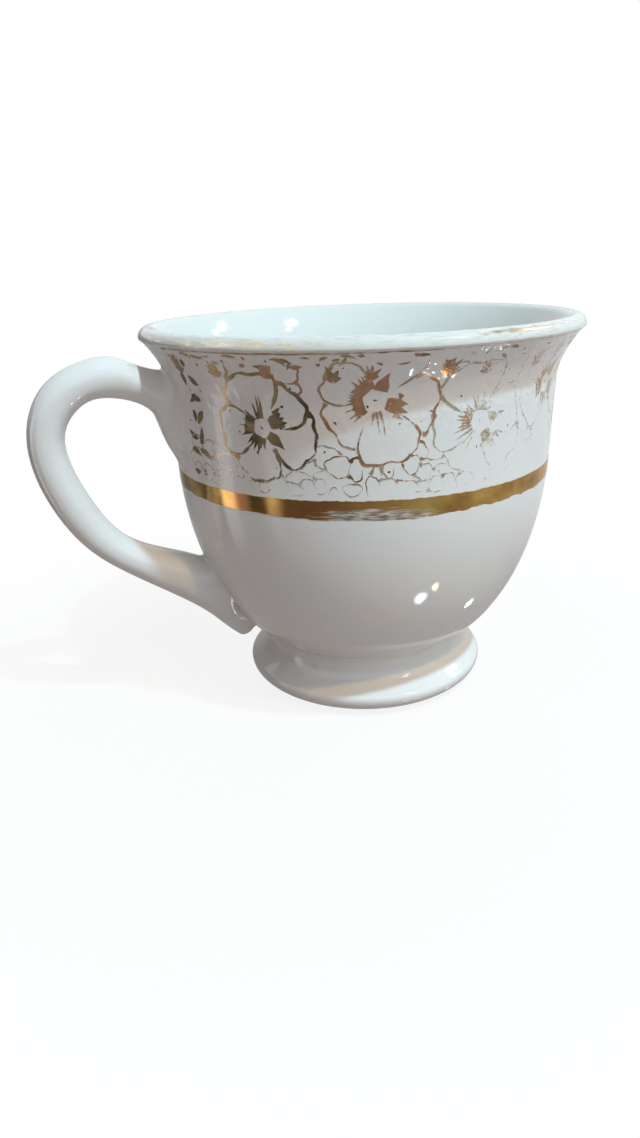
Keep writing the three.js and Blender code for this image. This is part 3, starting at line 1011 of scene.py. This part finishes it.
    def blossom(self, degrees, up, size, turn, tone):
        """Five overlapping petals round a burst of unlike lobes with a blank eye."""
        spot = spot_at(degrees, up)
        eye = self.draw(0.16, 0.2) * size
        lobes = [self.block, self.rays, self.drop, self.wedge, self.block]
        self.random.shuffle(lobes)
        for k, lobe in enumerate(lobes):
            direction = turn + 2 * math.pi * k / PETALS + self.random.normal(0, 0.07)
            lobe(spot, direction, eye, size, self.shade(tone, 0.10))
        self.ray(spot, self.random.random() * 6, -0.3, 0.6, 0.3, 0.1, 0.8)
        self.petals(spot, size, turn + 0.3, tone, self.draw(0.36, 0.44))

    def petals(self, spot, size, turn, tone, bare):
        """Petals of one flower in a random order of overlap."""
        broad = 1.25 if tone < 0.3 else 1.0
        s = np.linspace(0, 2 * math.pi, 60)
        rise = (1 - np.cos(s)) / 2
        for k in self.random.permutation(PETALS):
            direction = turn + 2 * math.pi * k / PETALS + self.random.normal(0, 0.10)
            length = size * self.draw(0.85, 1.12)
            width = length * self.draw(0.62, 0.78) * PETALS / (PETALS + 0.5)
            phase = self.random.random() * 6
            wave = 1 + rise * (0.03 * np.sin(5 * s + phase) + 0.018 * np.sin(11 * s + 2 * phase))
            shape = np.stack([length * rise ** 0.75, width * np.sin(s) * rise ** 0.35], axis=1)
            shape = turned_by(shape * wave[:, None], direction)
            near = np.linalg.norm(shape, axis=1) < bare * size
            shade = self.shade(tone + 0.06, 0.06)
            self.outline(spot + shape, 0.20 * broad, 0.66 * broad, shade, near)
            self.covers.append(spot + shape)

    def cell(self, degrees, up, width, height, tone):
        """A small uneven ring, as of a bud."""
        angle = np.linspace(0, 2 * math.pi, 40)
        phase = self.random.random() * 6
        wave = 1 + 0.10 * np.sin(angle * 3 + phase) + 0.05 * np.sin(angle * 7 + 1)
        across, along = width / 2 * wave * np.cos(angle), height / 2 * wave * np.sin(angle)
        ring = spot_at(degrees, up) + np.stack([across, along], axis=1)
        self.outline(ring, 0.10, 0.38, tone, np.zeros(40))
        self.covers.append(ring)

    def crown(self, degrees, up, size, tone):
        """A small tuft that stands up from a solid base."""
        spot = spot_at(degrees, up)
        for j in range(5):
            lean = math.pi / 2 + (j - 2) * 0.3 + self.random.normal(0, 0.08)
            reach = size * self.draw(0.5, 1.0)
            self.ray(spot, lean, 0.0, reach, 0.34 * size, self.shade(tone, 0.06))
        for lean in (0.15, math.pi - 0.15):
            self.ray(spot, lean, 0.0, 0.45 * size, 0.4 * size, tone)

    def dash(self, degrees, up, direction, length, width, tone):
        """A short brush mark."""
        t = np.linspace(-0.5, 0.5, 7)
        bow = self.random.normal(0, 0.12) * length
        mark = np.stack([length * t, bow * (1 - 4 * t ** 2)], axis=1)
        widths = width * (1 - 3.2 * t ** 2) * self.wavy(7, 0.6, 1.3)
        self.ribbon(spot_at(degrees, up) + turned_by(mark, direction), widths, tone)

    def build(self, name, material):
        points = np.concatenate(self.points)
        piece = add_piece(name, points, self.faces, material, smooth=False)
        set_attribute(piece, "tone", np.concatenate(self.tones))
        set_attribute(piece, "fade", np.concatenate(self.fades))
        clean_mesh(piece)


# Seeds of the three layers of the print
BLOSSOM_SEED = 11
BORDER_SEED = 19
BUD_SEED = 31
# Main blossoms: degrees from the handle, height up the wall, petal length, turn and tone
MAIN_BLOSSOMS = [
    (43, 12.2, 9.6, 0.45, 0.12),
    (71.5, 16.8, 10.2, 1.0, 0.54),
    (99, 12.0, 9.6, 0.2, 0.74),
    (126, 16.2, 10.0, 0.75, 0.80),
    (153, 11.8, 9.8, 0.35, 0.42),
    (180, 16.4, 10.2, 1.1, 0.48),
    (208, 12.0, 9.8, 0.1, 0.36),
    (236, 16.5, 10.0, 0.6, 0.52),
    (264, 11.9, 9.8, 0.9, 0.34),
    (291, 16.6, 10.0, 0.25, 0.50),
    (318, 12.2, 9.6, 0.7, 0.28),
]
HIGH_BLOSSOM = 14  # height from which a blossom stands in the upper row
# Smaller flowers behind the main ones
BACK_HEIGHT = 20.8
BACK_SIZE = 6.4
BACK_ASIDE_HIGH, BACK_ASIDE_LOW = 14, 2
# Rows of small cells: degrees between them, and lowest and highest place
CELL_ROWS = [(4.1, 1.2, 2.6), (4.5, 3.4, 6.0), (5.3, 5.8, 9.0)]
HANDLE_DASHES = (17, 20.5, 339.5, 343)  # degrees of the columns of dashes beside the handle
BORDER_FADED = (112, 34)  # degrees and spread


def border_fade(degrees):
    centre, spread = BORDER_FADED
    return np.exp(-((degrees - centre) / spread) ** 2)


def print_blossoms(covers, material):
    flowers = Print(BLOSSOM_SEED, covers)
    for blossom in MAIN_BLOSSOMS:
        flowers.blossom(*blossom)
    for degrees, up, _, turn, _ in MAIN_BLOSSOMS:
        aside = BACK_ASIDE_HIGH if up > HIGH_BLOSSOM else BACK_ASIDE_LOW
        spot = spot_at(degrees + aside, BACK_HEIGHT)
        flowers.petals(spot, BACK_SIZE, turn, flowers.shade(0.4, 0.08), 0.5)
    flowers.build("blossom_print", material)


def print_border(material):
    """Tufts and marks under the lip, and a fine line along it."""
    border = Print(BORDER_SEED, [])
    draw = border.draw
    for degrees in np.arange(PRINT_START + 4, PRINT_STOP, 13.7):
        up, size = PRINT_TOP - draw(4.0, 5.6), draw(2.2, 3.6)
        border.crown(degrees + draw(-4, 4), up, size, border.shade(0.42, 0.10))
    for degrees in np.arange(PRINT_START, PRINT_STOP, 1.3):
        if border.random.random() < 0.72 - 0.4 * border_fade(degrees):
            up, length, width = PRINT_TOP - draw(0.8, 3.2), draw(0.4, 2.6), draw(0.3, 0.75)
            direction = border.random.normal(0, 0.5)
            border.dash(degrees, up, direction, length, width, border.shade(0.36, 0.12))
    degrees = np.arange(PRINT_START, PRINT_STOP, 0.5)
    around = np.radians(degrees) * FLAT_RADIUS
    line = np.stack([around, PRINT_TOP - 0.22 + 0.05 * np.sin(around)], axis=1)
    widths = border.wavy(len(line), 0.06, 0.40) * (1 - 0.7 * border_fade(degrees))
    border.ribbon(line, widths, 0.30)
    border.build("border_print", material)


def print_buds(covers, material):
    """Small cells above the band, flecks all over, and dashes beside the handle."""
    buds = Print(BUD_SEED, covers)
    draw = buds.draw
    for step, lowest, highest in CELL_ROWS:
        for degrees in np.arange(PRINT_START + 2, PRINT_STOP - 2, step):
            up, width, height = draw(lowest, highest), draw(1.8, 5.4), draw(1.8, 4.4)
            buds.cell(degrees + draw(-1, 1), up, width, height, buds.shade(0.66, 0.2))
    for degrees in np.arange(PRINT_START, PRINT_STOP, 2.6):
        up, direction, length = draw(1.0, PRINT_TOP - 3), draw(0, 3), draw(0.25, 0.7)
        buds.dash(degrees, up, direction, length, 0.32, buds.shade(0.25, 0.12))
    for column in HANDLE_DASHES:
        for up in np.arange(2.4, PRINT_TOP - 3, 3.4):
            direction, length = buds.random.normal(0, 0.7), draw(1.6, 3.6)
            degrees = column + draw(-1, 1)
            buds.dash(degrees, up, direction, length, 1.1, buds.shade(0.14, 0.06))
    buds.build("bud_print", material)


def make_print(material):
    covers = []
    print_blossoms(covers, material)
    print_border(material)
    print_buds(covers, material)


# Stage, light and camera

RIGHT = Vector((math.cos(VIEW_TURN), -math.sin(VIEW_TURN), 0))
TOWARDS = Vector((-math.sin(VIEW_TURN), -math.cos(VIEW_TURN), 0))
UP = Vector((0, 0, 1))
AIM = 0.045  # height in metres that the lamps face

FLOOR_RADIUS = 3.0
FLOOR_SIDES = 96
FLOOR_DROP = 0.0002
FLOOR_ROUGHNESS = 0.9
FLOOR_BOUNCE = (0.36, 0.272, 0.245)
FLOOR_PALE = (0.9, 0.9, 0.9)
SHADOW_REACH = (0.05, 0.13)  # from the axis, where the cup's shadow begins to fade and is gone
SHADOW_WHITE = (0.86, 1.0)  # share of white in the floor there

# Cards round the cup that only its gloss shows: degrees to the right of the camera, and brightness
CARD_RADIUS = 0.15
CARD_LOW = -0.05
CARD_HIGH = 0.09
CARD_TURNS = 128
CARDS = [
    (-180, 0.60), (-140, 0.35), (-125, 0.16), (-108, 0.32), (-92, 0.10), (-84, 0.10),
    (-81, 2.10), (-73, 2.10), (-70, 0.60), (-64, 0.50), (-61, 0.10), (-52, 0.10), (-49, 0.90),
    (-44, 0.80), (-41, 0.18), (-20, 0.20), (0, 0.28), (30, 0.42), (60, 0.62), (90, 0.75),
    (130, 0.85), (180, 0.60),
]
TABLE_CARD_RADIUS = 3.0
TABLE_CARD_DEPTH = -1.0
TABLE_CARD_LEVEL = 0.45
TABLE_CARD_COLOUR = (1.0, 0.97, 0.95)

# Lamps as the gloss shows them: degrees right and up, or down for their images in the floor,
# size, brightness and colour
GLEAM_DISTANCE = 0.75
GLEAM_COOL = (0.82, 0.94, 1.0)
GLEAM_WARM = (1.0, 0.78, 0.52)
GLEAMS = [
    (60, 52, 0.085, 15, GLEAM_COOL),
    (60, 46, 0.045, 12, GLEAM_WARM),
    (117, 38, 0.080, 15, GLEAM_COOL),
    (121, 33, 0.045, 12, GLEAM_WARM),
    (-8, 41, 0.040, 8, GLEAM_COOL),
    (53, -56, 0.072, 22, GLEAM_COOL),
    (60, -50, 0.044, 40, GLEAM_WARM),
    (113, -49, 0.050, 12, GLEAM_COOL),
]

# Lamps: degrees right of the camera, degrees up, distance and size in metres, watts and colour
LAMPS = {
    "key": (44, 60, 0.75, 0.035, 3.95, (0.48, 0.80, 1.0)),
    "warm": (40, 52, 0.75, 0.035, 1.28, (1.0, 0.63, 0.24)),
    "right_fill": (46, 24, 0.70, 0.50, 1.38, (0.74, 0.92, 1.0)),
    "back_fill": (180, 11, 0.80, 0.60, 2.1, (0.98, 0.98, 1.0)),
}
AMBIENT = 0.292
AMBIENT_COLOUR = (0.99, 0.935, 0.925)
WHITE = (1, 1, 1)


def seen_from_camera(right, towards, up):
    """A place in metres given as the camera sees it, from the foot of the bowl's axis."""
    return AXIS + RIGHT * right + TOWARDS * towards + UP * up


def round_cup(degrees, up, distance):
    """A place at degrees to the right of the camera and up, as seen from the middle of the cup."""
    turn, rise = math.radians(degrees), math.radians(up)
    flat, height = distance * math.cos(rise), AIM + distance * math.sin(rise)
    return seen_from_camera(flat * math.sin(turn), flat * math.cos(turn), height)


def facing_cup(place):
    return (AXIS + UP * AIM - place).to_track_quat("-Z", "Y").to_euler()


def add_stage(name, points, faces, material):
    mesh = bpy.data.meshes.new(name)
    mesh.from_pydata([tuple(point) for point in points], [], faces)
    mesh.materials.append(material)
    made = add_object(name, mesh)
    return made


def make_floor():
    material, nodes, shader, place = new_surface("pale_floor")
    seen = nodes.seen_directly()
    nodes.feed(shader, {
        "Base Color": nodes.mix(seen, FLOOR_BOUNCE, FLOOR_PALE),
        "Roughness": FLOOR_ROUGHNESS,
    })
    distance = nodes.add("VectorMath", "Value", {0: place}, operation="LENGTH")
    clear = nodes.span(distance, SHADOW_REACH, SHADOW_WHITE)
    share = nodes.combine("MULTIPLY", clear, seen)
    white = nodes.add("Emission", "Emission", {})
    nodes.show(nodes.add("MixShader", "Shader", {0: share, 1: shader.outputs["BSDF"], 2: white}))
    floor = add_stage("floor", *disc(FLOOR_RADIUS, FLOOR_SIDES), material)
    floor.location.z = -FLOOR_DROP
    floor.visible_glossy = False


def add_card(name, mesh, material, colour, level):
    """A glowing card that only gloss shows."""
    nodes = Nodes(material)
    nodes.show(nodes.add("Emission", "Emission", {"Color": colour, "Strength": level}))
    card = add_stage(name, *mesh, material)
    for kind in ("camera", "diffuse", "transmission", "volume_scatter", "shadow"):
        setattr(card, "visible_" + kind, False)
    return card


def add_glow_disc(name, radius, colour, level):
    return add_card(name, disc(radius), bpy.data.materials.new(name), (*colour, 1), level)


def make_cards():
    material, nodes, _, place = new_surface("reflection_cards")
    x, y, z = (nodes.add("SeparateXYZ", axis, {0: place}) for axis in "XYZ")
    turn = nodes.span(nodes.combine("ARCTAN2", y, x), (-math.pi, math.pi))
    brightest = max(level for _, level in CARDS)
    stops = [((degrees + 180) / 360, (level / brightest,) * 3) for degrees, level in CARDS]
    table_level = tuple(TABLE_CARD_LEVEL / brightest * part for part in TABLE_CARD_COLOUR)
    colour = nodes.mix(nodes.span(z, (CARD_LOW, 0.0)), table_level, nodes.ramp(turn, stops))
    strip = turned(np.array([[CARD_RADIUS, CARD_LOW], [CARD_RADIUS, CARD_HIGH]]), CARD_TURNS)
    cards = add_card("reflection_cards", strip, material, colour, brightest)
    cards.location = AXIS
    cards.rotation_euler.z = math.atan2(TOWARDS.y, TOWARDS.x)
    table = add_glow_disc("table_card", TABLE_CARD_RADIUS, TABLE_CARD_COLOUR, TABLE_CARD_LEVEL)
    table.location.z = TABLE_CARD_DEPTH
    for index, (degrees, up, size, level, colour) in enumerate(GLEAMS):
        gleam = add_glow_disc("gleam_%d" % (index + 1), size / 2, colour, level)
        gleam.location = round_cup(degrees, up, GLEAM_DISTANCE)
        gleam.rotation_euler = facing_cup(gleam.location)


def make_world():
    world = bpy.data.worlds.new("studio")
    bpy.context.scene.world = world
    nodes = Nodes(world)
    seen = nodes.seen_directly()
    nodes.feed(nodes.tree.nodes["Background"], {
        "Color": nodes.mix(seen, AMBIENT_COLOUR, WHITE),
        "Strength": nodes.span(seen, UNIT, (AMBIENT, 1.0)),
    })


def make_lights():
    for name, (degrees, up, distance, size, watts, colour) in LAMPS.items():
        data = bpy.data.lights.new(name, "AREA")
        data.size = size
        data.energy = watts
        data.color = colour
        light = add_object(name, data)
        light.location = round_cup(degrees, up, distance)
        light.rotation_euler = facing_cup(light.location)
        light.visible_camera = False
        light.visible_glossy = False


def make_camera():
    forward = (
        RIGHT * (math.sin(CAMERA_YAW) * math.cos(CAMERA_PITCH))
        - TOWARDS * (math.cos(CAMERA_YAW) * math.cos(CAMERA_PITCH))
        - UP * math.sin(CAMERA_PITCH)
    )
    level = RIGHT * math.cos(CAMERA_YAW) + TOWARDS * math.sin(CAMERA_YAW)
    above = level.cross(forward)
    right = level * math.cos(CAMERA_ROLL) + above * math.sin(CAMERA_ROLL)
    up = above * math.cos(CAMERA_ROLL) - level * math.sin(CAMERA_ROLL)
    data = bpy.data.cameras.new("camera")
    data.sensor_fit = "VERTICAL"
    data.sensor_height = SENSOR_SIZE
    data.lens = SENSOR_SIZE * FOCAL_PIXELS / PHOTO_HEIGHT
    data.clip_start = CLIP_START
    camera = add_object("camera", data)
    camera.matrix_world = Matrix((right, up, -forward)).transposed().to_4x4()
    camera.location = seen_from_camera(0, CAMERA_BACK * MM, CAMERA_UP * MM)
    bpy.context.scene.camera = camera


bpy.context.scene.view_settings.view_transform = "Standard"
make_camera()
make_world()
make_lights()
make_floor()
make_cards()

turned_glaze = glaze_material("white_glaze", BOWL_UNEVENNESS)
make_bowl(turned_glaze)
make_foot(turned_glaze)
make_handle(glaze_material("handle_glaze", HANDLE_UNEVENNESS))
make_band(gold_material("band_gold", BAND_SCRATCHES, BAND_RUB, BAND_GOLD, BAND_BARE))
make_rim_gilding(gold_material("lip_gold", LIP_SCRATCHES, LIP_RUB, LIP_GOLD, LIP_BARE_AND_SHADED))
make_print(print_material())
